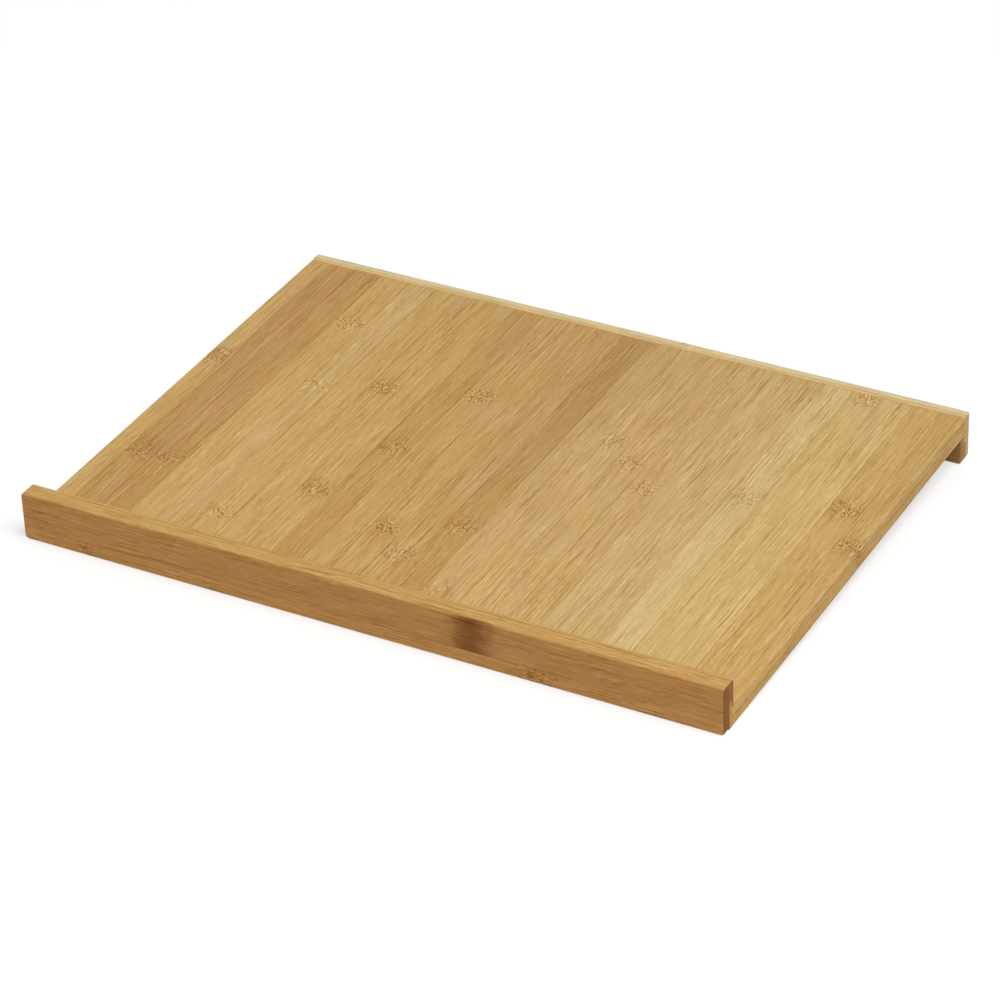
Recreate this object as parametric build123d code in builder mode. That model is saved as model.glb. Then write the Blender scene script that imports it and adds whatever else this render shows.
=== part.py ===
"""Bamboo cutting board with a stop rail above its near edge and a hook rail below its far edge.

The panel is two plies of flat bamboo strips that run from front to back. Each rail is three plies of
strips that run across: an outer ply and a core ply as tall as the whole rail, each of two strips with
their seams apart, and a lip strip that covers only the rail's free part. The panel's ends are glued
into the rebates that the lip strips leave: under the lip at the near side, and on top of it at the far
side. The hook rail is built like the stop rail and turned over, with plies of other thicknesses.

X runs along the rails, Y from the stop rail to the hook rail, and Z up. The origin is in the middle of
the board's box, on the plane that the hook rail's foot reaches.
"""

import os

from build123d import *

# Driving dimensions, in millimetres
BOARD_WIDTH = 450.0  # along the rails
BOARD_DEPTH = 340.0  # from the face of one rail to the face of the other
PLY_THICKNESS = 6.75  # one of the panel's two plies
STRIP_WIDTH = 19.2  # one full strip of the panel, or as near to it as a whole number of strips gives
SIDE_STRIP_WIDTH = 13.8  # the trimmed strip at each side of the panel's top ply
LIP_HEIGHT = 17.25  # how far a rail stands past the panel
STOP_OUTER_PLY = 6.5  # thickness of the stop rail's outer ply
STOP_LIP_PLY = 2.5  # thickness of the stop rail's lip strip
HOOK_OUTER_PLY = 5.0  # thickness of the hook rail's outer ply
HOOK_LIP_PLY = 4.0  # thickness of the hook rail's lip strip
RAIL_CORE_PLY = 3.0  # thickness of a rail's core ply
RAIL_NARROW_STRIP = 8.75  # height of the narrow strip in a rail's outer ply
CORE_RISE = 4.5  # how far a core strip goes on past the panel, behind the lip
PANEL_EDGE_RADIUS = 2.0  # rounding along the panel's two upper edges
PANEL_FOOT_RADIUS = 0.75  # rounding along the panel's two lower edges
RAIL_EDGE_RADIUS = 0.75  # rounding along a rail's open edges
STOP_FOOT_RADIUS = 2.5  # rounding of the stop rail's lower corners, seen from the front
HOOK_HEAD_RADIUS = 1.25  # rounding of the hook rail's upper corners, seen from behind
LIP_CORNER_RADIUS = 1.75  # rounding of a rail's corners at the free edge of its lip

# Sizes that follow from the driving ones
PANEL_THICKNESS = 2 * PLY_THICKNESS
PANEL_NEAR_END = -BOARD_DEPTH / 2 + STOP_OUTER_PLY + RAIL_CORE_PLY
PANEL_FAR_END = BOARD_DEPTH / 2 - HOOK_OUTER_PLY - RAIL_CORE_PLY
RAIL_HEIGHT = PANEL_THICKNESS + LIP_HEIGHT
CORE_STRIP_HEIGHT = PANEL_THICKNESS + CORE_RISE
PANEL_UNDERSIDE = LIP_HEIGHT
PANEL_MIDDLE = PANEL_UNDERSIDE + PLY_THICKNESS
PANEL_TOP = PANEL_UNDERSIDE + PANEL_THICKNESS

# Seams of the panel: whole strips fill the top ply between its side strips, and the bottom ply's seams
# lie half a strip over, so that no seam goes right through
FULL_STRIPS_SPAN = BOARD_WIDTH - 2 * SIDE_STRIP_WIDTH
FULL_STRIPS = round(FULL_STRIPS_SPAN / STRIP_WIDTH)
SEAM_SPACING = FULL_STRIPS_SPAN / FULL_STRIPS
TOP_SEAMS = [step * SEAM_SPACING - FULL_STRIPS_SPAN / 2 for step in range(FULL_STRIPS + 1)]
BOTTOM_SEAMS = [seam + SEAM_SPACING / 2 for seam in TOP_SEAMS[:-1]]

# Places in a list of the panel's faces that is sorted by height
LOWEST = 0
HIGHEST = -1

# Places in lists of a rail's corners and faces: corners are sorted from the side that is flush with the
# panel to the free edge of the lip, and faces from the inside outwards
FLUSH_END = 0
FREE_END = -1
INNER_FACE = 0
OUTER_FACE = -1

# The outer face of each rail, with its own Y running from the panel's flush side to the free lip
STOP_FACE = Plane(origin=(0, -BOARD_DEPTH / 2, PANEL_UNDERSIDE), x_dir=(1, 0, 0), z_dir=(0, -1, 0))
HOOK_FACE = Plane(origin=(0, BOARD_DEPTH / 2, PANEL_TOP), x_dir=(1, 0, 0), z_dir=(0, 1, 0))


def save_strip(part, strip_name):
    """Name one strip and write it to its own file."""
    part.label = strip_name
    export_step(part, f"parts/{strip_name}.step")


def build_ply(ply_name, seams, underside, open_face, edge_radius):
    """Build one ply of the panel, strip by strip from seam to seam.

    open_face says whether the ply's LOWEST or HIGHEST face is the panel's open one. edge_radius rounds
    the two strips at the panel's sides along it.
    """
    left_sides = [-BOARD_WIDTH / 2, *seams]
    right_sides = [*seams, BOARD_WIDTH / 2]
    for number, (low, high) in enumerate(zip(left_sides, right_sides), start=1):
        with BuildPart() as strip:
            with BuildSketch(Plane.XY.offset(underside)):
                with Locations(((low + high) / 2, (PANEL_NEAR_END + PANEL_FAR_END) / 2)):
                    Rectangle(high - low, PANEL_FAR_END - PANEL_NEAR_END)
            extrude(amount=PLY_THICKNESS)
            face_edges = strip.faces().sort_by(Axis.Z)[open_face].edges()
            long_edges = face_edges.filter_by(Axis.Y).sort_by(Axis.X)
            if number == 1:
                fillet(long_edges[0], edge_radius)
            if number == len(right_sides):
                fillet(long_edges[-1], edge_radius)
        save_strip(strip.part, f"{ply_name}_{number:02d}")


def build_rail_strip(face, low, high, thickness, corner_end, corner_radius, open_face=None):
    """Build one strip of a rail, from the plane of its outer face inwards.

    low and high are heights above the rail's flush side. corner_end says which end of the strip has its
    two corners rounded. open_face says which of its faces, if any, is also open and has its edges
    rounded, apart from the edge at the other end, which meets the next strip or the panel.
    """
    along_height = Axis(face.origin, face.y_dir)
    outwards = Axis(face.origin, face.z_dir)
    with BuildPart() as strip:
        with BuildSketch(face) as outline:
            with Locations((0, (low + high) / 2)):
                Rectangle(BOARD_WIDTH, high - low)
            fillet(outline.vertices().group_by(Axis.Y)[corner_end], corner_radius)
        extrude(amount=-thickness)
        if open_face is not None:
            face_edges = strip.faces().sort_by(outwards)[open_face].edges().sort_by(along_height)
            fillet(face_edges[:-1] if corner_end == FLUSH_END else face_edges[1:], RAIL_EDGE_RADIUS)
    return strip.part


def build_rail(rail_name, face, outer_ply, lip_ply, outer_corner_radius, core_corner_radius):
    """Build the five strips of one rail, ply by ply from its outer face inwards.

    outer_corner_radius and core_corner_radius round the two corners of the outer ply and of the core
    ply at the rail's flush side, where it is level with the panel.
    """
    core_face = face.offset(-outer_ply)
    lip_face = core_face.offset(-RAIL_CORE_PLY)

    # Outer ply: a narrow strip at the panel's flush side, and a wide one from that seam to the free edge
    narrow_strip = build_rail_strip(
        face, 0, RAIL_NARROW_STRIP, outer_ply, FLUSH_END, outer_corner_radius, OUTER_FACE
    )
    wide_strip = build_rail_strip(
        face, RAIL_NARROW_STRIP, RAIL_HEIGHT, outer_ply, FREE_END, LIP_CORNER_RADIUS, OUTER_FACE
    )
    save_strip(narrow_strip, f"{rail_name}_narrow_strip")
    save_strip(wide_strip, f"{rail_name}_wide_strip")

    # Core ply: a strip against the panel's end that goes on behind the lip, and a cap strip past it
    core_strip = build_rail_strip(
        core_face, 0, CORE_STRIP_HEIGHT, RAIL_CORE_PLY, FLUSH_END, core_corner_radius
    )
    cap_strip = build_rail_strip(
        core_face, CORE_STRIP_HEIGHT, RAIL_HEIGHT, RAIL_CORE_PLY, FREE_END, LIP_CORNER_RADIUS
    )
    save_strip(core_strip, f"{rail_name}_core_strip")
    save_strip(cap_strip, f"{rail_name}_cap_strip")

    # Lip: a strip over the end of the panel
    lip_strip = build_rail_strip(
        lip_face, PANEL_THICKNESS, RAIL_HEIGHT, lip_ply, FREE_END, LIP_CORNER_RADIUS, INNER_FACE
    )
    save_strip(lip_strip, f"{rail_name}_lip_strip")


os.makedirs("parts", exist_ok=True)

# The panel's two plies
build_ply("top_strip", TOP_SEAMS, PANEL_MIDDLE, HIGHEST, PANEL_EDGE_RADIUS)
build_ply("bottom_strip", BOTTOM_SEAMS, PANEL_UNDERSIDE, LOWEST, PANEL_FOOT_RADIUS)

# The rails: the same five strips, standing up at the near side and turned over at the far side
build_rail("stop_rail", STOP_FACE, STOP_OUTER_PLY, STOP_LIP_PLY, STOP_FOOT_RADIUS, PANEL_FOOT_RADIUS)
build_rail("hook_rail", HOOK_FACE, HOOK_OUTER_PLY, HOOK_LIP_PLY, HOOK_HEAD_RADIUS, PANEL_EDGE_RADIUS)
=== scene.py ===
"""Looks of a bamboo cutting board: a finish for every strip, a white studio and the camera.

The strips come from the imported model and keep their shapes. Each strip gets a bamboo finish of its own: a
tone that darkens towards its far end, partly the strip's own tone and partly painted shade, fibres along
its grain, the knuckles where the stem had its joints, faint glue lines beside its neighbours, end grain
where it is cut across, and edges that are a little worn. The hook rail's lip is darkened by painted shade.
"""

import logging
import math
import random
from dataclasses import dataclass, field
from enum import Enum
from functools import reduce
from itertools import combinations

import bmesh
import bpy
from mathutils import Euler, Matrix, Vector


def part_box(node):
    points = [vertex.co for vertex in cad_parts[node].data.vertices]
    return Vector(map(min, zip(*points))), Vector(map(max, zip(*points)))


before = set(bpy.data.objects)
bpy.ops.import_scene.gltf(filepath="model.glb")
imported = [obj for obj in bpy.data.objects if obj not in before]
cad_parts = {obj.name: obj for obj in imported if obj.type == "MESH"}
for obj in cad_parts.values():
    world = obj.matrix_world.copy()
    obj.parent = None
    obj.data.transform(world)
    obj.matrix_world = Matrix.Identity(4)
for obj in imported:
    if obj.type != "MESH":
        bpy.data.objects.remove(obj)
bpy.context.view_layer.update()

LOG = logging.getLogger("cutting_board")

SocketValue = bpy.types.NodeSocket | float | tuple[float, ...]
Colour = tuple[float, float, float, float]
Ramp = tuple[float, float]  # the values at which a fade starts and ends
WHITE: Colour = (1.0, 1.0, 1.0, 1.0)
SCREEN_WHITE = 255  # a full part of a colour on screen


class Tone(Enum):
    """Tones of bamboo, as red, green and blue parts on screen."""

    BLOND = (208, 189, 143)
    CREAM = (207, 177, 121)
    STRAW = (204, 172, 112)
    OAT = (200, 167, 111)
    LINEN = (194, 166, 118)
    SAND = (198, 162, 105)
    GOLD = (199, 161, 100)
    HONEY = (194, 155, 97)
    MAIZE = (192, 153, 90)
    AMBER = (189, 149, 91)
    TOBACCO = (185, 144, 88)
    TOFFEE = (196, 146, 85)
    CARAMEL = (191, 139, 81)
    WALNUT = (161, 124, 78)
    UMBER = (149, 101, 57)
    COFFEE = (138, 90, 46)

    def linear(self, shade: float = 1.0) -> Colour:
        """Give the tone as scene-linear colour, with the share of its light that shade says."""
        return (*(screen_to_linear(part / SCREEN_WHITE) * shade for part in self.value), 1.0)


class Grain(Enum):
    """Way that a strip's fibres run, as the turn that lays them along the pattern's Y axis."""

    FRONT_TO_BACK = (0.0, 0.0, 0.0)
    ALONG_RAIL = (math.pi / 2, 0.0, math.pi / 2)


class Face(Enum):
    """A side of the board, as its axis and the way it looks along that axis."""

    LEFT = (0, -1)
    RIGHT = (0, 1)
    NEAR = (1, -1)
    FAR = (1, 1)
    UNDER = (2, -1)
    TOP = (2, 1)

    @property
    def axis(self) -> int:
        """Number of the axis that crosses this side."""
        return self.value[0]

    @property
    def way(self) -> int:
        """1 where the side looks up its axis, and -1 where it looks down it."""
        return self.value[1]

    @property
    def opposite(self) -> "Face":
        """The side that looks the other way."""
        return Face((self.axis, -self.way))


class SocketKind(Enum):
    """Kinds of socket on a shader group."""

    VALUE = "NodeSocketFloat"
    PLACE = "NodeSocketVector"
    COLOUR = "NodeSocketColor"


def screen_to_linear(part: float) -> float:
    """Turn one part of a screen colour, from 0 to 1, into scene-linear light, by the sRGB curve."""
    return part / 12.92 if part <= 0.04045 else ((part + 0.055) / 1.055) ** 2.4


def grey(level: float) -> Colour:
    """Give a grey of one level, from 0 for black to 1 for white."""
    return (level, level, level, 1.0)


@dataclass(frozen=True)
class Speckle:
    """One layer of noise, with the size of its lumps in metres."""

    layer: float  # number that keeps this layer unlike the others
    across: float  # across the grain, and through the strip
    along: float  # along the grain
    detail: float = 1.0  # how many finer layers are added to it
    weight: float = 1.0  # how strongly it counts where it makes a value uneven


class NodeSketch:
    """Short calls that add nodes to one tree and join them."""

    NOISE_ROUGHNESS = 0.6
    NOISE_MIDDLE = 0.5

    def __init__(self, tree: bpy.types.NodeTree) -> None:
        """Keep the tree that the nodes go into."""
        self.tree = tree

    def add(self, kind: str, **settings: object) -> bpy.types.Node:
        """Add one node.

        Args:
            kind: Blender's name for the node's type.
            settings: the node's properties, by name.

        Returns:
            The new node.
        """
        node = self.tree.nodes.new(kind)
        for name, value in settings.items():
            setattr(node, name, value)
        return node

    def feed(self, socket: bpy.types.NodeSocket, value: SocketValue) -> None:
        """Give a socket what it reads.

        Args:
            socket: the socket.
            value: another node's output, which is joined to it, or a plain value.
        """
        if isinstance(value, bpy.types.NodeSocket):
            self.tree.links.new(value, socket)
        else:
            socket.default_value = value

    def fill(self, node: bpy.types.Node, *values: SocketValue) -> bpy.types.Node:
        """Give a node's first inputs what they read.

        Args:
            node: the node.
            values: what each input reads, in the inputs' order.

        Returns:
            The same node.
        """
        for socket, value in zip(node.inputs, values):
            self.feed(socket, value)
        return node

    def math(self, step: str, *values: SocketValue) -> bpy.types.NodeSocket:
        """Work out one value from others, by one of Blender's math steps."""
        return self.fill(self.add("ShaderNodeMath", operation=step), *values).outputs[0]

    def vector(self, step: str, *values: SocketValue) -> bpy.types.NodeSocket:
        """Work out one vector or colour from others, by one of Blender's vector steps."""
        return self.fill(self.add("ShaderNodeVectorMath", operation=step), *values).outputs[0]

    def parts(self, place: SocketValue) -> tuple[bpy.types.NodeSocket, ...]:
        """Take a place apart into its three parts."""
        return tuple(self.fill(self.add("ShaderNodeSeparateXYZ"), place).outputs)

    def shift(self, place: SocketValue, *steps: SocketValue) -> bpy.types.NodeSocket:
        """Move a place by a step across the grain and, where it is given, one along it."""
        step = self.fill(self.add("ShaderNodeCombineXYZ"), *steps)
        return self.vector("ADD", place, step.outputs[0])

    def away(self, value: SocketValue, centre: SocketValue, reach: SocketValue) -> bpy.types.NodeSocket:
        """Give how far a value lies from a centre, counted in reaches."""
        offset = self.math("SUBTRACT", value, centre)
        return self.math("DIVIDE", self.math("ABSOLUTE", offset), reach)

    def fade(self, value: SocketValue, ramp: Ramp) -> bpy.types.NodeSocket:
        """Go smoothly from 0, with the value at the ramp's start, to 1, at its end."""
        node = self.add("ShaderNodeMapRange", interpolation_type="SMOOTHSTEP")
        return self.fill(node, value, *ramp, 0.0, 1.0).outputs[0]

    def mix(self, share: SocketValue, first: SocketValue, second: SocketValue) -> bpy.types.NodeSocket:
        """Blend two colours.

        Args:
            share: how much of the second shows.
            first: the colour that shows where share is 0.
            second: the colour that shows where share is 1.

        Returns:
            The blended colour.
        """
        node = self.add("ShaderNodeMix", data_type="RGBA")
        sockets = [socket for socket in node.inputs if socket.enabled]
        for socket, value in zip(sockets, (share, first, second)):
            self.feed(socket, value)
        return next(socket for socket in node.outputs if socket.enabled)

    def tint(self, share: SocketValue, colour: SocketValue, tint: Colour) -> bpy.types.NodeSocket:
        """Multiply a colour by a tint, as far as share says."""
        return self.mix(share, colour, self.vector("MULTIPLY", colour, tint[:3]))

    def mix_shaders(
        self, share: SocketValue, first: bpy.types.Node, second: bpy.types.Node
    ) -> bpy.types.Node:
        """Blend two shaders: share is how much of the second shows."""
        return self.fill(self.add("ShaderNodeMixShader"), share, first.outputs[0], second.outputs[0])

    def noise(self, place: SocketValue, speckle: Speckle, seed: SocketValue) -> bpy.types.NodeSocket:
        """Read one layer of noise.

        Args:
            place: where it is read, in metres.
            speckle: the layer.
            seed: number that makes one strip unlike the next.

        Returns:
            Values around 0, mostly between -0.3 and 0.3.
        """
        size = (speckle.across, speckle.along, speckle.across)
        node = self.add("ShaderNodeTexNoise", noise_dimensions="4D")
        self.feed(node.inputs["Vector"], self.vector("DIVIDE", place, size))
        self.feed(node.inputs["W"], self.math("ADD", seed, speckle.layer))
        self.feed(node.inputs["Scale"], 1.0)
        self.feed(node.inputs["Detail"], speckle.detail)
        self.feed(node.inputs["Roughness"], self.NOISE_ROUGHNESS)
        return self.math("SUBTRACT", node.outputs[0], self.NOISE_MIDDLE)

    def uneven(
        self, value: SocketValue, place: SocketValue, speckle: Speckle, seed: SocketValue
    ) -> bpy.types.NodeSocket:
        """Make a value uneven by one layer of noise, as strongly as the layer counts."""
        return self.math("MULTIPLY_ADD", self.noise(place, speckle, seed), speckle.weight, value)


class EffectGroup:
    """One shader group with named inputs and outputs, built once and placed in many materials."""

    NAME: str
    INPUTS: dict[str, SocketKind]
    OUTPUTS: dict[str, SocketKind]

    def __init__(self) -> None:
        """Make the group's sockets, and draw what lies between them."""
        tree = bpy.data.node_groups.new(self.NAME, "ShaderNodeTree")
        for way, sockets in (("INPUT", self.INPUTS), ("OUTPUT", self.OUTPUTS)):
            for socket_name, kind in sockets.items():
                tree.interface.new_socket(socket_name, in_out=way, socket_type=kind.value)
        self.sketch = NodeSketch(tree)
        self.given = self.sketch.add("NodeGroupInput").outputs
        self.results = self.sketch.add("NodeGroupOutput").inputs
        self.draw()

    def draw(self) -> None:
        """Work out the outputs from the inputs, and give them."""
        raise NotImplementedError

    def give(self, **values: SocketValue) -> None:
        """Join the group's outputs to what it has worked out."""
        for name, value in values.items():
            self.sketch.feed(self.results[name], value)

    def place(self, sketch: NodeSketch, **values: SocketValue) -> bpy.types.bpy_prop_collection:
        """Put the group into a material.

        Args:
            sketch: the material's nodes.
            values: what each of the group's inputs gets, by name.

        Returns:
            The outputs, by name.
        """
        node = sketch.add("ShaderNodeGroup", node_tree=self.sketch.tree)
        for name, value in values.items():
            sketch.feed(node.inputs[name], value)
        return node.outputs


class StripToneAndPaintedShade(EffectGroup):
    """A tone that drifts from a strip's near end to its far end: partly the strip's own tone, partly
    painted shade that darkens the far end.
    """

    NAME = "strip_tone_and_painted_shade"
    INPUTS = {
        "near": SocketKind.COLOUR,
        "far": SocketKind.COLOUR,
        "along": SocketKind.VALUE,
        "half_length": SocketKind.VALUE,
    }
    OUTPUTS = {"colour": SocketKind.COLOUR}

    MIDDLE = 0.5  # share of the far tone halfway along

    def draw(self) -> None:
        """Blend the tones of the two ends along the strip."""
        sketch = self.sketch
        given = self.given
        way = sketch.math("DIVIDE", given["along"], given["half_length"])
        share = sketch.math("MULTIPLY_ADD", way, self.MIDDLE, self.MIDDLE)
        self.give(colour=sketch.mix(share, given["near"], given["far"]))


class StemRing(EffectGroup):
    """A dark ring of the stem, on a strip's skin."""

    NAME = "stem_ring"
    INPUTS = {
        "skin": SocketKind.COLOUR,
        "ring": SocketKind.COLOUR,
        "place": SocketKind.PLACE,
        "seed": SocketKind.VALUE,
        "centre": SocketKind.VALUE,
        "reach": SocketKind.VALUE,
        "lean": SocketKind.VALUE,
    }
    OUTPUTS = {"skin": SocketKind.COLOUR}

    STREAK = Speckle(layer=240, across=0.0009, along=0.0060, detail=2.0, weight=1.1)
    PATCH = Speckle(layer=250, across=0.0070, along=0.0100, weight=0.9)
    FADE: Ramp = (1.7, 0.1)  # in reaches from its middle

    def draw(self) -> None:
        """Darken the skin, with streaks that run out along the grain."""
        sketch = self.sketch
        given = self.given
        across, along, _ = sketch.parts(given["place"])
        leaning = sketch.math("MULTIPLY_ADD", across, given["lean"], given["centre"])
        distance = sketch.away(along, leaning, given["reach"])
        for speckle in (self.STREAK, self.PATCH):
            distance = sketch.uneven(distance, given["place"], speckle, given["seed"])
        share = sketch.fade(distance, self.FADE)
        self.give(skin=sketch.mix(share, given["skin"], given["ring"]))


class StemSkin(EffectGroup):
    """The change of tone towards the face that was the stem's outer side."""

    NAME = "stem_skin"
    INPUTS = {
        "colour": SocketKind.COLOUR,
        "skin": SocketKind.COLOUR,
        "depth": SocketKind.VALUE,
        "thickness": SocketKind.VALUE,
    }
    OUTPUTS = {"colour": SocketKind.COLOUR}

    FADE: Ramp = (1.0, 0.15)  # in thicknesses under the face

    def draw(self) -> None:
        """Lay the skin's tone over the strip's, as far down as it is thick."""
        sketch = self.sketch
        given = self.given
        share = sketch.fade(sketch.math("DIVIDE", given["depth"], given["thickness"]), self.FADE)
        self.give(colour=sketch.mix(share, given["colour"], given["skin"]))


class KnuckleSwirl(EffectGroup):
    """How far the fibres bend aside round a knuckle, in metres."""

    NAME = "knuckle_swirl"
    INPUTS = {
        "place": SocketKind.PLACE,
        "seed": SocketKind.VALUE,
        "centre": SocketKind.VALUE,
        "reach": SocketKind.VALUE,
    }
    OUTPUTS = {"bend": SocketKind.VALUE}

    SWAY = Speckle(layer=110, across=0.0050, along=0.0080, weight=0.0035)  # in metres
    FADE: Ramp = (2.6, 0.3)  # in reaches from the knuckle

    def draw(self) -> None:
        """Bend the fibres to and fro, and most where they are nearest to the knuckle."""
        sketch = self.sketch
        given = self.given
        _, along, _ = sketch.parts(given["place"])
        near = sketch.fade(sketch.away(along, given["centre"], given["reach"]), self.FADE)
        sway = sketch.uneven(0.0, given["place"], self.SWAY, given["seed"])
        self.give(bend=sketch.math("MULTIPLY", sway, near))


class BambooFibres(EffectGroup):
    """The fibres, vessels and clouds of a strip, over its tone."""

    NAME = "bamboo_fibres"
    INPUTS = {
        "tone": SocketKind.COLOUR,
        "place": SocketKind.PLACE,
        "seed": SocketKind.VALUE,
        "contrast": SocketKind.VALUE,
    }
    OUTPUTS = {
        "colour": SocketKind.COLOUR,
        "roughness": SocketKind.VALUE,
        "height": SocketKind.VALUE,
    }

    WANDER = Speckle(layer=0, across=0.005, along=0.021, weight=0.0017)  # in metres
    HAIR = Speckle(layer=10, across=0.00064, along=0.028, detail=0.0, weight=0.95)
    FIBRE = Speckle(layer=20, across=0.0018, along=0.040, detail=0.0, weight=0.05)
    SHORT_HAIR = Speckle(layer=30, across=0.00060, along=0.0050, detail=0.0, weight=0.60)
    BUNDLE = Speckle(layer=40, across=0.0030, along=0.045, weight=0.03)
    CLOUD = Speckle(layer=60, across=0.011, along=0.034, weight=0.16)
    CLEAR_PATCH = Speckle(layer=70, across=0.009, along=0.040, weight=2.4)
    VESSEL = Speckle(layer=80, across=0.0060, along=0.110, weight=3.0)  # in spacings
    WARM_PATCH = Speckle(layer=100, across=0.012, along=0.035)

    FAINTEST = 0.35  # least share of its contrast that a patch keeps
    MIDDLE_LIGHT = 0.565  # share of the pale tint where all the layers are at their middle
    VESSEL_SPACING = 0.0023  # from one dark line to the next, before they are made uneven
    VESSEL_SLANT = 0.7  # how far a line moves across for each metre through the strip
    HALF_SPACING = 0.5  # from a line's middle to the middle of the next gap
    VESSEL_FADE: Ramp = (0.16, 0.02)  # in spacings from a line's middle
    VESSEL_BREAK: Ramp = (-0.12, 0.20)  # fibre noise where a line is lost, and where it is whole
    VESSEL_SHARE = 0.75
    VESSEL_RELIEF = -0.5
    WARM_FADE: Ramp = (-0.1, 0.2)
    ROUGHNESS = 0.58
    ROUGHNESS_SPREAD = 0.25

    DARK_FIBRE: Colour = (0.73, 0.62, 0.42, 1.0)
    PALE_FIBRE: Colour = (1.27, 1.38, 1.60, 1.0)
    DARK_VESSEL: Colour = (0.70, 0.58, 0.42, 1.0)
    WARMTH: Colour = (1.015, 0.985, 0.955, 1.0)

    def draw(self) -> None:
        """Tint the tone with the fibres, draw the vessels, and give the relief of both."""
        sketch = self.sketch
        tone = self.given["tone"]
        place = self.given["place"]
        seed = self.given["seed"]
        bent = sketch.shift(place, sketch.uneven(0.0, place, self.WANDER, seed))

        fibre = sketch.noise(bent, self.FIBRE, seed)
        lines = sketch.math("MULTIPLY", fibre, self.FIBRE.weight)
        for speckle in (self.HAIR, self.SHORT_HAIR):
            lines = sketch.uneven(lines, bent, speckle, seed)
        clearness = sketch.math("MAXIMUM", sketch.uneven(1.0, place, self.CLEAR_PATCH, seed), self.FAINTEST)
        clearness = sketch.math("MULTIPLY", clearness, self.given["contrast"])
        light = sketch.math("MULTIPLY_ADD", lines, clearness, self.MIDDLE_LIGHT)
        light = sketch.uneven(light, bent, self.BUNDLE, seed)
        light = sketch.uneven(light, place, self.CLOUD, seed)
        colour = sketch.vector("MULTIPLY", tone, sketch.mix(light, self.DARK_FIBRE, self.PALE_FIBRE))

        vessel = self._vessels(bent, seed)
        vessel = sketch.math("MULTIPLY", vessel, sketch.fade(fibre, self.VESSEL_BREAK))
        vessel = sketch.math("MULTIPLY", vessel, clearness)
        colour = sketch.tint(sketch.math("MULTIPLY", vessel, self.VESSEL_SHARE), colour, self.DARK_VESSEL)
        warmth = sketch.fade(sketch.noise(place, self.WARM_PATCH, seed), self.WARM_FADE)
        colour = sketch.tint(warmth, colour, self.WARMTH)

        self.give(
            colour=colour,
            roughness=sketch.math("MULTIPLY_ADD", fibre, self.ROUGHNESS_SPREAD, self.ROUGHNESS),
            height=sketch.math("MULTIPLY_ADD", vessel, self.VESSEL_RELIEF, fibre),
        )

    def _vessels(self, place: SocketValue, seed: SocketValue) -> bpy.types.NodeSocket:
        """Draw thin lines along the grain, at uneven spacings.

        Args:
            place: where they are read, in metres.
            seed: number that makes one strip unlike the next.

        Returns:
            1 on a line and 0 between the lines.
        """
        sketch = self.sketch
        across, _, through = sketch.parts(place)
        way = sketch.math("MULTIPLY_ADD", through, self.VESSEL_SLANT, across)
        way = sketch.math("DIVIDE", way, self.VESSEL_SPACING)
        way = sketch.uneven(way, place, self.VESSEL, seed)
        return sketch.fade(sketch.math("PINGPONG", way, self.HALF_SPACING), self.VESSEL_FADE)


class CoatEffect(EffectGroup):
    """An effect that is laid over the colour and height so far."""

    INPUTS = {
        "colour": SocketKind.COLOUR,
        "height": SocketKind.VALUE,
        "place": SocketKind.PLACE,
        "seed": SocketKind.VALUE,
    }
    OUTPUTS = {"colour": SocketKind.COLOUR, "height": SocketKind.VALUE}


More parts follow.
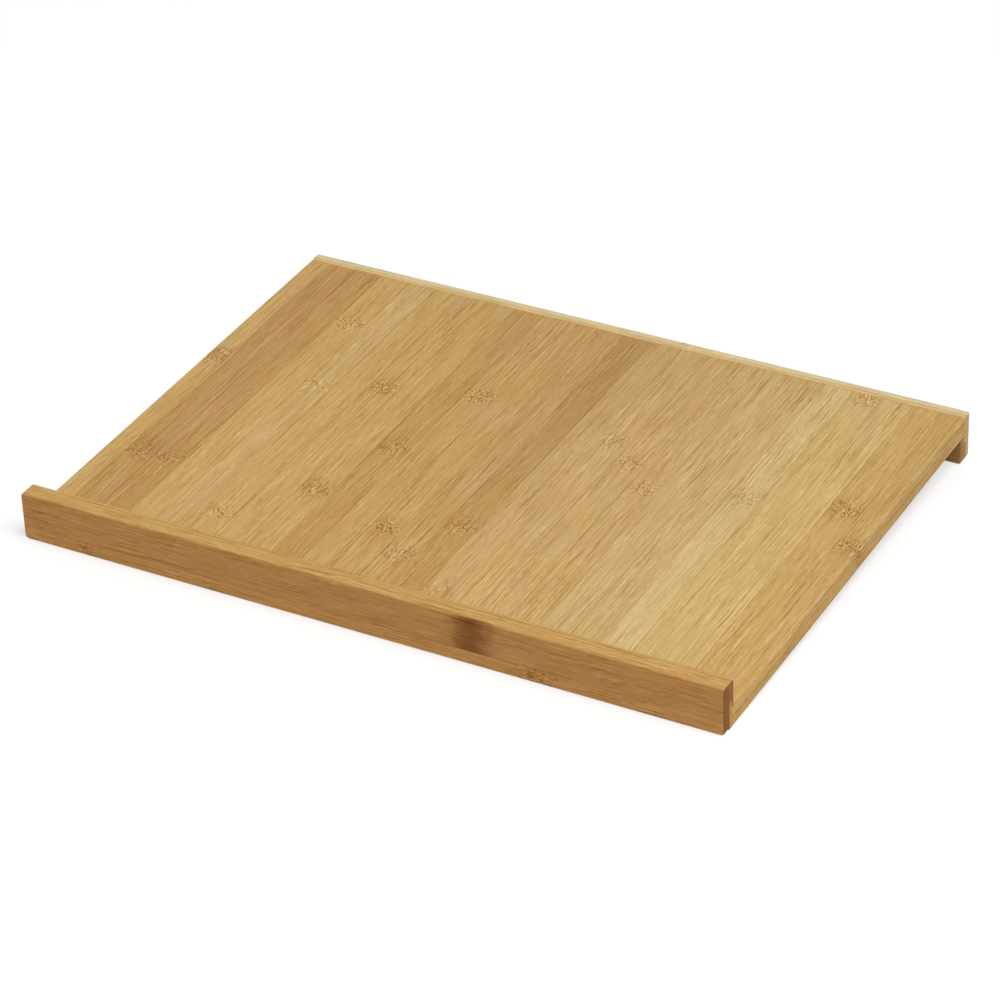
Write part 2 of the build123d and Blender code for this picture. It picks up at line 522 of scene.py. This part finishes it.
class KnuckleBand(CoatEffect):
    """One knuckle: a soft band of short dark and pale dashes, with a stain on it or behind it."""

    NAME = "bamboo_knuckle"
    INPUTS = CoatEffect.INPUTS | {
        "centre": SocketKind.VALUE,
        "reach": SocketKind.VALUE,
        "flecks": SocketKind.VALUE,
        "stain": SocketKind.VALUE,
        "stain_centre": SocketKind.VALUE,
    }

    RAGGED = Speckle(layer=120, across=0.0028, along=0.0060, detail=2.0, weight=2.6)  # in reaches
    TWIST = Speckle(layer=140, across=0.0045, along=0.0060, weight=0.0020)  # in metres
    FLECK = Speckle(layer=180, across=0.00058, along=0.0021, detail=0.0)

    WIDTH = 0.0096  # from its middle to where it has grown clearly thinner
    NARROWING = 0.6  # by how many reaches it is shorter there
    STAIN_RAGGEDNESS = 0.8  # in reaches
    BAND_FADE: Ramp = (1.6, 0.1)  # in reaches from its middle
    STAIN_FADE: Ramp = (1.9, 0.1)  # in reaches from the stain's middle
    DARK_FADE: Ramp = (0.00, 0.16)
    PALE_FADE: Ramp = (-0.02, -0.18)

    STAIN: Colour = (0.55, 0.42, 0.32, 1.0)
    DARK_FLECK: Colour = (0.57, 0.41, 0.25, 1.0)
    PALE_FLECK: Colour = (1.31, 1.42, 1.60, 1.0)

    def draw(self) -> None:
        """Lay the stain, then the dashes, which also stand out a little."""
        sketch = self.sketch
        given = self.given
        place = given["place"]
        seed = given["seed"]
        across, along, _ = sketch.parts(place)
        ragged = sketch.noise(place, self.RAGGED, seed)
        distance = sketch.away(along, given["centre"], given["reach"])
        off_centre = sketch.math("POWER", sketch.away(across, 0.0, self.WIDTH), 2.0)
        distance = sketch.math("MULTIPLY_ADD", off_centre, self.NARROWING, distance)
        distance = sketch.math("MULTIPLY_ADD", ragged, self.RAGGED.weight, distance)
        strength = sketch.math("MULTIPLY", sketch.fade(distance, self.BAND_FADE), given["flecks"])
        stain_distance = sketch.away(along, given["stain_centre"], given["reach"])
        stain_distance = sketch.math("MULTIPLY_ADD", ragged, self.STAIN_RAGGEDNESS, stain_distance)
        stain = sketch.math("MULTIPLY", sketch.fade(stain_distance, self.STAIN_FADE), given["stain"])

        twist = sketch.uneven(0.0, place, self.TWIST, seed)
        fleck = sketch.noise(sketch.shift(place, twist, twist), self.FLECK, seed)
        colour = sketch.tint(stain, given["colour"], self.STAIN)
        for fade, tint in ((self.DARK_FADE, self.DARK_FLECK), (self.PALE_FADE, self.PALE_FLECK)):
            share = sketch.math("MULTIPLY", sketch.fade(fleck, fade), strength)
            colour = sketch.tint(share, colour, tint)
        relief = sketch.math("MULTIPLY", fleck, strength)
        self.give(colour=colour, height=sketch.math("SUBTRACT", given["height"], relief))


class GlueLine(CoatEffect):
    """The thin line of a glued seam, here fainter and there clearer."""

    NAME = "glue_line"
    INPUTS = CoatEffect.INPUTS | {"distance": SocketKind.VALUE}

    PATCH = Speckle(layer=200, across=0.020, along=0.030)
    FADE: Ramp = (0.0004, 0.0001)  # metres from the seam
    PATCH_FADE: Ramp = (-0.30, 0.20)
    RELIEF = -0.4
    GLUE: Colour = (0.70, 0.60, 0.48, 1.0)

    def draw(self) -> None:
        """Darken the strip beside its seam, and sink it a little."""
        sketch = self.sketch
        given = self.given
        line = sketch.fade(given["distance"], self.FADE)
        patch = sketch.noise(given["place"], self.PATCH, given["seed"])
        share = sketch.math("MULTIPLY", line, sketch.fade(patch, self.PATCH_FADE))
        height = sketch.math("MULTIPLY_ADD", line, self.RELIEF, given["height"])
        self.give(colour=sketch.tint(share, given["colour"], self.GLUE), height=height)


class EndGrain(CoatEffect):
    """The pores of a strip's two ends, where it is cut across its fibres."""

    NAME = "end_grain"
    INPUTS = CoatEffect.INPUTS | {"half_length": SocketKind.VALUE, "end": SocketKind.COLOUR}

    PORE = Speckle(layer=220, across=0.0006, along=0.020)
    PATCH = Speckle(layer=230, across=0.0050, along=0.020)
    FADE: Ramp = (0.0008, 0.0002)  # metres from the end
    PORE_FADE: Ramp = (0.00, 0.16)
    PATCH_FADE: Ramp = (-0.15, 0.2)
    RELIEF = -0.6
    DARK_PORE: Colour = (0.72, 0.66, 0.60, 1.0)
    PALE_END: Colour = (1.12, 1.12, 1.12, 1.0)

    def draw(self) -> None:
        """Change to the ends' tone, with pale patches and dark pores."""
        sketch = self.sketch
        given = self.given
        _, along, _ = sketch.parts(given["place"])
        inset = sketch.math("SUBTRACT", given["half_length"], sketch.math("ABSOLUTE", along))
        share = sketch.fade(inset, self.FADE)
        pores = sketch.fade(sketch.noise(given["place"], self.PORE, given["seed"]), self.PORE_FADE)
        patch = sketch.fade(sketch.noise(given["place"], self.PATCH, given["seed"]), self.PATCH_FADE)
        end = sketch.tint(patch, given["end"], self.PALE_END)
        end = sketch.tint(pores, end, self.DARK_PORE)
        sunken = sketch.math("MULTIPLY", pores, share)
        height = sketch.math("MULTIPLY_ADD", sunken, self.RELIEF, given["height"])
        self.give(colour=sketch.mix(share, given["colour"], end), height=height)


class WornEdge(CoatEffect):
    """An open edge that hands and cloths have rubbed a little paler here and there."""

    NAME = "worn_edge"
    INPUTS = CoatEffect.INPUTS | {"distance": SocketKind.VALUE}

    PATCH = Speckle(layer=260, across=0.010, along=0.010, detail=2.0)
    FADE: Ramp = (0.0013, 0.0003)  # metres from the edge
    PATCH_FADE: Ramp = (-0.2, 0.25)
    WORN: Colour = (0.99, 1.00, 1.02, 1.0)

    def draw(self) -> None:
        """Make the edge paler in patches."""
        sketch = self.sketch
        given = self.given
        edge = sketch.fade(given["distance"], self.FADE)
        patch = sketch.noise(given["place"], self.PATCH, given["seed"])
        share = sketch.math("MULTIPLY", edge, sketch.fade(patch, self.PATCH_FADE))
        self.give(colour=sketch.tint(share, given["colour"], self.WORN), height=given["height"])


@dataclass(frozen=True)
class BambooEffects:
    """The shader groups that all the bamboo finishes share. Their places are in metres."""

    tone: StripToneAndPaintedShade = field(default_factory=StripToneAndPaintedShade)
    ring: StemRing = field(default_factory=StemRing)
    skin: StemSkin = field(default_factory=StemSkin)
    swirl: KnuckleSwirl = field(default_factory=KnuckleSwirl)
    fibres: BambooFibres = field(default_factory=BambooFibres)
    knuckle: KnuckleBand = field(default_factory=KnuckleBand)
    glue_line: GlueLine = field(default_factory=GlueLine)
    end_grain: EndGrain = field(default_factory=EndGrain)
    worn_edge: WornEdge = field(default_factory=WornEdge)


@dataclass(frozen=True)
class Knuckle:
    """A joint of the bamboo stem that crosses a strip."""

    at: float  # place along the grain, in the row frame
    reach: float = 0.0090  # half its length along the grain
    flecks: float = 1.0  # how clear its dashes are
    stain: float = 0.10  # how dark its stain is
    brow: float = 0.0  # how far behind it the stain lies


@dataclass(frozen=True)
class Ring:
    """A dark ring of the stem, on a strip's skin."""

    at: float  # place along the grain, in the row frame
    reach: float  # half its length along the grain
    lean: float = 0.0  # how far it slants along the grain for each metre across
    tone: Tone = Tone.COFFEE


@dataclass(frozen=True)
class Strip:
    """One strip of the frame, and how it lies among its neighbours."""

    node: str
    seed: float  # number that makes its grain unlike its neighbours'
    open_faces: tuple[Face, ...]  # the sides that no other strip covers
    glued_faces: tuple[Face, ...]  # the sides that other strips are glued to
    skin_face: Face | None = None  # the side that was the stem's outer side


@dataclass(frozen=True)
class BambooFinish:
    """Oiled bamboo, for one strip of the panel."""

    tone: Tone
    knuckles: tuple[Knuckle, ...] = ()
    far_tone_and_painted_shade: float = 0.92  # share of its brightness that the tone keeps at the far end: partly the strip's own tone, partly painted shade
    contrast: float = 1.0  # how clear the fibres are
    skin: Tone | None = None
    skin_thickness: float = 0.0010
    ring: Ring | None = None
    end: Tone = Tone.AMBER
    grain: Grain = Grain.FRONT_TO_BACK

    def dress(self, strip: Strip, effects: BambooEffects) -> None:
        """Give a strip of the frame this finish.

        Args:
            strip: the strip.
            effects: the shared shader groups.
        """
        paint = StripPaint(strip, self, effects)
        paint.lay_tone()
        paint.draw_fibres()
        paint.draw_knuckles()
        paint.draw_seams()
        paint.draw_ends()
        paint.wear_edges()
        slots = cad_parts[strip.node].data.materials
        slots.clear()
        slots.append(paint.shade())
        LOG.info("dressed %s in %s", strip.node, self.tone.name.lower())


@dataclass(frozen=True)
class RailFinish(BambooFinish):
    """Oiled bamboo, for one strip of a rail, alike from end to end."""

    far_tone_and_painted_shade: float = 1.0
    contrast: float = 0.8
    grain: Grain = Grain.ALONG_RAIL


class StripPaint:
    """One strip's material, built up effect by effect."""

    SPECULAR = 0.04
    BUMP_STRENGTH = 0.35
    BUMP_DISTANCE = 0.00006

    # What has been drawn so far
    colour: bpy.types.NodeSocket
    roughness: bpy.types.NodeSocket
    height: bpy.types.NodeSocket

    def __init__(self, strip: Strip, finish: BambooFinish, effects: BambooEffects) -> None:
        """Start a material that reads its places along the strip's grain.

        Args:
            strip: the strip that the material is for.
            finish: what the strip should look like.
            effects: the shared shader groups.
        """
        self.strip = strip
        self.finish = finish
        self.effects = effects
        self.low, self.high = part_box(strip.node)
        turn = Euler(finish.grain.value).to_matrix()
        self.centre = turn @ ((self.low + self.high) / 2)
        self.half_length = (turn @ ((self.high - self.low) / 2)).y
        self.material = bpy.data.materials.new(f"bamboo_{strip.node}")
        self.material.use_nodes = True
        self.material.node_tree.nodes.clear()
        self.sketch = NodeSketch(self.material.node_tree)

        row_place = self.sketch.add("ShaderNodeTexCoord").outputs["Object"]
        mapping = self.sketch.add("ShaderNodeMapping")
        self.sketch.feed(mapping.inputs["Vector"], row_place)
        self.sketch.feed(mapping.inputs["Rotation"], finish.grain.value)
        self.sketch.feed(mapping.inputs["Location"], tuple(-self.centre))
        self.place = mapping.outputs[0]
        _, self.along, _ = self.sketch.parts(self.place)
        row_parts = self.sketch.parts(row_place)
        self.depths = {
            face: self._depth(face, row_parts[face.axis])
            for face in (*strip.open_faces, *strip.glued_faces)
        }

    def lay_tone(self) -> None:
        """Lay the strip's own tone, darkened towards its far end partly by painted shade, and the skin's
        tone over it.
        """
        self.colour = self.effects.tone.place(
            self.sketch,
            near=self.finish.tone.linear(),
            # the far end's tone is dimmed by painted shade, partly also the strip's own darker far end
            far=self.finish.tone.linear(self.finish.far_tone_and_painted_shade),
            along=self.along,
            half_length=self.half_length,
        )["colour"]
        if self.finish.skin is None:
            return
        skin = self.finish.skin.linear()
        ring = self.finish.ring
        if ring is not None:
            skin = self.effects.ring.place(
                self.sketch,
                skin=skin,
                ring=ring.tone.linear(),
                place=self.place,
                seed=self.strip.seed,
                centre=ring.at - self.centre.y,
                reach=ring.reach,
                lean=ring.lean,
            )["skin"]
        self.colour = self.effects.skin.place(
            self.sketch,
            colour=self.colour,
            skin=skin,
            depth=self.depths[self.strip.skin_face],
            thickness=self.finish.skin_thickness,
        )["colour"]

    def draw_fibres(self) -> None:
        """Draw the fibres, which swirl at the knuckles."""
        place = self.place
        for knuckle in self.finish.knuckles:
            bend = self.effects.swirl.place(
                self.sketch,
                place=place,
                seed=self.strip.seed,
                centre=knuckle.at - self.centre.y,
                reach=knuckle.reach,
            )["bend"]
            place = self.sketch.shift(place, bend)
        drawn = self.effects.fibres.place(
            self.sketch,
            tone=self.colour,
            place=place,
            seed=self.strip.seed,
            contrast=self.finish.contrast,
        )
        self.colour = drawn["colour"]
        self.height = drawn["height"]
        self.roughness = drawn["roughness"]

    def draw_knuckles(self) -> None:
        """Draw each knuckle's dashes and stain."""
        for knuckle in self.finish.knuckles:
            centre = knuckle.at - self.centre.y
            self._coat(
                self.effects.knuckle,
                centre=centre,
                reach=knuckle.reach,
                flecks=knuckle.flecks,
                stain=knuckle.stain,
                stain_centre=centre + knuckle.brow,
            )

    def draw_seams(self) -> None:
        """Draw the glue lines beside the neighbours."""
        for face in self.strip.glued_faces:
            self._coat(self.effects.glue_line, distance=self.depths[face])

    def draw_ends(self) -> None:
        """Draw the end grain."""
        self._coat(self.effects.end_grain, half_length=self.half_length, end=self.finish.end.linear())

    def wear_edges(self) -> None:
        """Wear the edges where two open faces meet."""
        edges = [
            self.sketch.math("MAXIMUM", self.depths[first], self.depths[second])
            for first, second in combinations(self.strip.open_faces, 2)
            if first.axis != second.axis
        ]
        if edges:
            nearest = reduce(lambda one, other: self.sketch.math("MINIMUM", one, other), edges)
            self._coat(self.effects.worn_edge, distance=nearest)

    def shade(self) -> bpy.types.Material:
        """Put the shader on the colour, roughness and height that were drawn.

        Returns:
            The finished material.
        """
        bump = self.sketch.add("ShaderNodeBump")
        self.sketch.feed(bump.inputs["Strength"], self.BUMP_STRENGTH)
        self.sketch.feed(bump.inputs["Distance"], self.BUMP_DISTANCE)
        self.sketch.feed(bump.inputs["Height"], self.height)
        shader = self.sketch.add("ShaderNodeBsdfPrincipled")
        self.sketch.feed(shader.inputs["Base Color"], self.colour)
        self.sketch.feed(shader.inputs["Roughness"], self.roughness)
        self.sketch.feed(shader.inputs["Specular IOR Level"], self.SPECULAR)
        self.sketch.feed(shader.inputs["Normal"], bump.outputs[0])
        self.sketch.fill(self.sketch.add("ShaderNodeOutputMaterial"), shader.outputs[0])
        return self.material

    def _depth(self, face: Face, coordinate: bpy.types.NodeSocket) -> bpy.types.NodeSocket:
        """Give how deep a place lies under one of the strip's sides."""
        side = (self.high if face.way > 0 else self.low)[face.axis]
        return self.sketch.math("MULTIPLY", self.sketch.math("SUBTRACT", side, coordinate), face.way)

    def _coat(self, effect: CoatEffect, **values: SocketValue) -> None:
        """Lay one more effect over the colour and height so far.

        Args:
            effect: the effect.
            values: what its own inputs get, by name.
        """
        drawn = effect.place(
            self.sketch,
            colour=self.colour,
            height=self.height,
            place=self.place,
            seed=self.strip.seed,
            **values,
        )
        self.colour = drawn["colour"]
        self.height = drawn["height"]


@dataclass(frozen=True)
class Ply:
    """One ply of the panel: strips side by side, with their fibres from front to back."""

    prefix: str
    open_face: Face
    first_seed: float
    finishes: tuple[BambooFinish, ...]  # from left to right

    SEED_STEP = 3.7

    def dress(self, effects: BambooEffects) -> None:
        """Give every strip its own finish."""
        for number, finish in enumerate(self.finishes, start=1):
            finish.dress(self._strip(number), effects)

    def _strip(self, number: int) -> Strip:
        """Describe one strip of the ply.

        Args:
            number: its place, from 1 at the left.

        Returns:
            The strip. An outermost one also shows the glue line between the plies.
        """
        open_faces = [self.open_face]
        glued_faces = [self.open_face.opposite]
        for face, outermost in ((Face.LEFT, 1), (Face.RIGHT, len(self.finishes))):
            (open_faces if number == outermost else glued_faces).append(face)
        return Strip(
            node=f"{self.prefix}_{number:02d}",
            seed=self.first_seed + self.SEED_STEP * number,
            open_faces=tuple(open_faces),
            glued_faces=tuple(glued_faces),
        )


TOP_PLY = Ply(
    prefix="top_strip",
    open_face=Face.TOP,
    first_seed=0.0,
    # far_tone_and_painted_shade darkens a strip's far end: partly its own tone, partly painted shade
    finishes=(
        BambooFinish(Tone.GOLD, (Knuckle(0.036, stain=0.25),)),
        BambooFinish(Tone.TOBACCO, (Knuckle(-0.079, stain=0.25, brow=0.008),), far_tone_and_painted_shade=0.95),
        BambooFinish(Tone.TOBACCO, (Knuckle(-0.079, brow=0.008),), far_tone_and_painted_shade=0.98),
        BambooFinish(Tone.GOLD, (Knuckle(0.103, stain=0.0),)),
        BambooFinish(Tone.SAND, (Knuckle(0.031, flecks=0.8, stain=0.0),), far_tone_and_painted_shade=0.96),
        BambooFinish(Tone.GOLD, (Knuckle(-0.114, flecks=0.9, stain=0.0),)),
        BambooFinish(Tone.GOLD, (Knuckle(0.045, flecks=1.2, stain=0.15),), far_tone_and_painted_shade=0.87),
        BambooFinish(Tone.GOLD, (Knuckle(-0.069, flecks=0.9, stain=0.22),), far_tone_and_painted_shade=0.89),
        BambooFinish(Tone.AMBER, (Knuckle(-0.011),)),
        BambooFinish(Tone.HONEY, (Knuckle(0.061, flecks=1.2, stain=0.0),)),
        BambooFinish(Tone.HONEY, (Knuckle(-0.088, stain=0.2),)),
        BambooFinish(Tone.HONEY, (Knuckle(-0.109, flecks=0.8),), far_tone_and_painted_shade=0.86),
        BambooFinish(Tone.AMBER, (Knuckle(-0.069, stain=0.0),), far_tone_and_painted_shade=0.81),
        BambooFinish(Tone.SAND, (Knuckle(-0.131, flecks=0.6, stain=0.0),), far_tone_and_painted_shade=0.87),
        BambooFinish(Tone.SAND, (Knuckle(0.052, flecks=0.65, stain=0.0),)),
        BambooFinish(Tone.SAND, (Knuckle(0.033, flecks=0.8, stain=0.0),)),
        BambooFinish(Tone.SAND, (Knuckle(0.011, flecks=0.8, stain=0.0),)),
        BambooFinish(Tone.OAT),
        BambooFinish(Tone.OAT),
        BambooFinish(Tone.CREAM, (Knuckle(0.029, flecks=0.8),)),
        BambooFinish(Tone.STRAW, (Knuckle(0.156),)),
        BambooFinish(Tone.STRAW),
        BambooFinish(Tone.GOLD, (Knuckle(0.042, flecks=1.3, stain=0.2),)),
        BambooFinish(Tone.GOLD, (Knuckle(0.008, flecks=1.1, stain=0.28),), far_tone_and_painted_shade=0.85),
    ),
)


def mixed_finishes(strips: int) -> tuple[BambooFinish, ...]:
    """Choose finishes for a ply that shows only its right side.

    Args:
        strips: how many strips the ply has.

    Returns:
        One finish for each strip, from left to right. The last one is the side that shows.
    """
    tones = (Tone.HONEY, Tone.SAND, Tone.GOLD, Tone.AMBER, Tone.OAT)
    farthest_knuckle = 0.145  # from the middle of a strip
    faintest_flecks = 0.5
    picker_seed = 23
    picker = random.Random(picker_seed)
    hidden = []
    for _ in range(1, strips):
        at = picker.uniform(-farthest_knuckle, farthest_knuckle)
        flecks = picker.uniform(faintest_flecks, 1.0)
        hidden.append(BambooFinish(picker.choice(tones), (Knuckle(at, flecks=flecks),)))
    shown_knuckles = (Knuckle(-0.093, stain=0.2), Knuckle(0.080, flecks=0.5))
    shown = BambooFinish(Tone.MAIZE, shown_knuckles, far_tone_and_painted_shade=1.0, contrast=1.6)
    return (*hidden, shown)


BOTTOM_PLY = Ply(
    prefix="bottom_strip",
    open_face=Face.UNDER,
    first_seed=200.0,
    finishes=mixed_finishes(strips=23),
)


@dataclass(frozen=True)
class Rail:
    """One rail: two strips in its outer ply, two in the core ply behind it, and a lip strip."""

    name: str
    outer_face: Face  # the side that the outer strips look to
    free_face: Face  # the side that the lip reaches to
    first_seed: float
    wide: RailFinish
    narrow: RailFinish
    core: RailFinish
    cap: RailFinish
    lip: RailFinish

    SEED_STEP = 5.0

    def dress(self, effects: BambooEffects) -> None:
        """Give the rail's five strips their finishes.

        Args:
            effects: the shared shader groups.
        """
        inner_face = self.outer_face.opposite
        flush_face = self.free_face.opposite
        sides = (self.outer_face, inner_face, self.free_face, flush_face)
        pieces = (
            ("wide", self.wide, (self.outer_face, self.free_face)),
            ("narrow", self.narrow, (self.outer_face, flush_face)),
            ("lip", self.lip, (inner_face, self.free_face)),
            ("core", self.core, (flush_face,)),
            ("cap", self.cap, (self.free_face,)),
        )
        for number, (piece, finish, shown_sides) in enumerate(pieces):
            strip = Strip(
                node=f"{self.name}_{piece}_strip",
                seed=self.first_seed + self.SEED_STEP * number,
                open_faces=(*shown_sides, Face.LEFT, Face.RIGHT),
                glued_faces=tuple(side for side in sides if side not in shown_sides),
                skin_face=shown_sides[0],
            )
            finish.dress(strip, effects)


STOP_LIP_KNUCKLES = (
    Knuckle(-0.113, reach=0.004, flecks=0.6),
    Knuckle(0.085, reach=0.004, flecks=0.6),
)

STOP_RAIL = Rail(
    name="stop_rail",
    outer_face=Face.NEAR,
    free_face=Face.TOP,
    first_seed=401.0,
    wide=RailFinish(
        Tone.MAIZE,
        contrast=1.15,
        skin=Tone.CARAMEL,
        skin_thickness=0.0016,
        ring=Ring(0.070, reach=0.0115, lean=0.1),
        end=Tone.COFFEE,
    ),
    narrow=RailFinish(
        Tone.MAIZE,
        (Knuckle(-0.183, reach=0.008, flecks=0.6), Knuckle(0.112, reach=0.010, stain=0.2)),
        contrast=1.3,
        skin=Tone.TOFFEE,
        end=Tone.COFFEE,
    ),
    core=RailFinish(Tone.MAIZE, (Knuckle(0.020),), end=Tone.TOBACCO),
    cap=RailFinish(Tone.MAIZE, STOP_LIP_KNUCKLES, end=Tone.UMBER),
    lip=RailFinish(Tone.MAIZE, STOP_LIP_KNUCKLES, skin=Tone.TOFFEE, end=Tone.UMBER),
)

HOOK_RAIL = Rail(
    name="hook_rail",
    outer_face=Face.FAR,
    free_face=Face.UNDER,
    first_seed=451.0,
    wide=RailFinish(Tone.STRAW, (Knuckle(-0.060),), skin=Tone.OAT, end=Tone.LINEN),
    narrow=RailFinish(Tone.BLOND, (Knuckle(0.039, reach=0.004),), skin=Tone.CREAM, end=Tone.LINEN),
    core=RailFinish(Tone.CREAM, (Knuckle(0.036, reach=0.004),), end=Tone.HONEY),
    cap=RailFinish(Tone.HONEY, (Knuckle(0.090),), end=Tone.WALNUT),
    # the lip's dark walnut tone and skin are painted shade: they stand in for the shade under the panel
    lip=RailFinish(Tone.WALNUT, (Knuckle(0.120),), skin=Tone.WALNUT, end=Tone.WALNUT),
)


@dataclass(frozen=True)
class Studio:
    """White floor, soft light and the camera."""

    floor_side: float = 8.0
    floor_bounce: float = 0.70  # share of light that the floor gives back to the board
    floor_shade: float = 0.50  # share of the floor's own look that a shadow can take away
    floor_glow: float = 0.55  # share of white that it keeps even in full shadow
    floor_gap: float = 0.0001  # how far it lies under the board's feet
    floor_fade: Ramp = (0.50, 1.00)  # from the board's middle, on the way to plain white
    sky: float = 0.50  # strength of the room's even light
    lamp_direction: tuple[float, float, float] = (0.44, -0.12, 0.89)  # seen from the board
    lamp_distance: float = 4.5
    lamp_side: float = 2.8
    lamp_power: float = 130.0  # in watts
    camera_azimuth: float = math.radians(29.279)  # from straight in front, towards the right
    camera_elevation: float = math.radians(33.190)
    camera_roll: float = math.radians(-2.209)
    camera_distance: float = 2.2917  # from the point that it aims at
    camera_aim: tuple[float, float, float] = (0.05426, -0.10179, 0.08114)
    camera_lens: float = 147.82  # in millimetres, as the sensor is
    camera_sensor: float = 36.0

    def build(self) -> None:
        """Set up the stage round the board."""
        bpy.context.scene.view_settings.view_transform = "Standard"
        self._lay_floor()
        self._hang_lamp()
        self._light_sky()
        self._stand_camera()

    def _backdrop_share(self, sketch: NodeSketch) -> bpy.types.NodeSocket:
        """Tell the rays that show the background from those that only carry light.

        Args:
            sketch: the nodes of the floor's material or of the sky.

        Returns:
            1 for a ray that shows the background, and 0 for the others.
        """
        path = sketch.add("ShaderNodeLightPath").outputs
        seen = sketch.math("MAXIMUM", path["Is Camera Ray"], path["Is Glossy Ray"])
        return sketch.math("MAXIMUM", seen, path["Is Transmission Ray"])

    def _lay_floor(self) -> None:
        """Lay the floor under the stop rail's foot and the hook rail, so the board leans as on a table."""
        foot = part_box("stop_rail_narrow_strip")[0]
        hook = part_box("hook_rail_lip_strip")[0]
        slope = math.atan2(hook.z - foot.z, hook.y - foot.y)
        shape = bmesh.new()
        bmesh.ops.create_grid(shape, x_segments=1, y_segments=1, size=self.floor_side / 2)
        bmesh.ops.rotate(shape, verts=shape.verts, matrix=Matrix.Rotation(slope, 3, "X"))
        bmesh.ops.translate(shape, verts=shape.verts, vec=(0.0, foot.y, foot.z - self.floor_gap))
        mesh = bpy.data.meshes.new("floor")
        shape.to_mesh(mesh)
        shape.free()
        floor = bpy.data.objects.new("floor", mesh)
        bpy.context.scene.collection.objects.link(floor)
        mesh.materials.append(self._floor_paint())
        LOG.info("laid the floor at a slope of %.2f degrees", math.degrees(slope))

    def _floor_paint(self) -> bpy.types.Material:
        """Make a floor that looks white, keeps the board's shadow and gives back plain light.

        Returns:
            The floor's material.
        """
        material = bpy.data.materials.new("floor_paint")
        material.use_nodes = True
        material.node_tree.nodes.clear()
        sketch = NodeSketch(material.node_tree)
        bounce = sketch.fill(sketch.add("ShaderNodeBsdfDiffuse"), grey(self.floor_bounce))
        shaded = sketch.fill(sketch.add("ShaderNodeBsdfDiffuse"), grey(self.floor_shade))
        glow = sketch.fill(sketch.add("ShaderNodeEmission"), WHITE, self.floor_glow)
        near_white = sketch.fill(sketch.add("ShaderNodeAddShader"), shaded.outputs[0], glow.outputs[0])
        far_white = sketch.fill(sketch.add("ShaderNodeEmission"), WHITE, 1.0)
        across, along, _ = sketch.parts(sketch.add("ShaderNodeTexCoord").outputs["Object"])
        squares = sketch.math("MULTIPLY_ADD", across, across, sketch.math("MULTIPLY", along, along))
        far = sketch.fade(sketch.math("SQRT", squares), self.floor_fade)
        seen = sketch.mix_shaders(far, near_white, far_white)
        blend = sketch.mix_shaders(self._backdrop_share(sketch), bounce, seen)
        sketch.fill(sketch.add("ShaderNodeOutputMaterial"), blend.outputs[0])
        return material

    def _hang_lamp(self) -> None:
        """Hang one large soft lamp above the board, towards the right."""
        lamp = bpy.data.lights.new("soft_lamp", "AREA")
        lamp.size = self.lamp_side
        lamp.energy = self.lamp_power
        holder = bpy.data.objects.new("soft_lamp", lamp)
        bpy.context.scene.collection.objects.link(holder)
        direction = Vector(self.lamp_direction).normalized()
        holder.location = direction * self.lamp_distance
        holder.rotation_euler = direction.to_track_quat("Z", "Y").to_euler()
        LOG.info("hung the lamp")

    def _light_sky(self) -> None:
        """Light the room evenly, and show it white behind the board."""
        world = bpy.data.worlds.new("studio_sky")
        world.use_nodes = True
        world.node_tree.nodes.clear()
        sketch = NodeSketch(world.node_tree)
        even = sketch.fill(sketch.add("ShaderNodeBackground"), WHITE, self.sky)
        white = sketch.fill(sketch.add("ShaderNodeBackground"), WHITE, 1.0)
        blend = sketch.mix_shaders(self._backdrop_share(sketch), even, white)
        sketch.fill(sketch.add("ShaderNodeOutputWorld"), blend.outputs[0])
        bpy.context.scene.world = world
        LOG.info("lit the sky")

    def _stand_camera(self) -> None:
        """Stand the camera where the photograph was taken from."""
        across = math.cos(self.camera_elevation)
        back = Vector((
            math.sin(self.camera_azimuth) * across,
            -math.cos(self.camera_azimuth) * across,
            math.sin(self.camera_elevation),
        ))
        right = Vector((math.cos(self.camera_azimuth), math.sin(self.camera_azimuth), 0.0))
        axes = Matrix((right, back.cross(right), back)).transposed()
        turned = axes @ Matrix.Rotation(self.camera_roll, 3, "Z")
        lens = bpy.data.cameras.new("camera")
        lens.lens = self.camera_lens
        lens.sensor_width = self.camera_sensor
        camera = bpy.data.objects.new("camera", lens)
        bpy.context.scene.collection.objects.link(camera)
        location = Vector(self.camera_aim) + back * self.camera_distance
        camera.matrix_world = Matrix.LocRotScale(location, turned, None)
        bpy.context.scene.camera = camera
        LOG.info("stood the camera at %s", tuple(round(part, 3) for part in location))


def main() -> None:
    """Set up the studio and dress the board."""
    logging.basicConfig(level=logging.INFO, format="%(message)s")
    Studio().build()
    effects = BambooEffects()
    for sub_assembly in (TOP_PLY, BOTTOM_PLY, STOP_RAIL, HOOK_RAIL):
        sub_assembly.dress(effects)


if __name__ == "__main__":
    main()
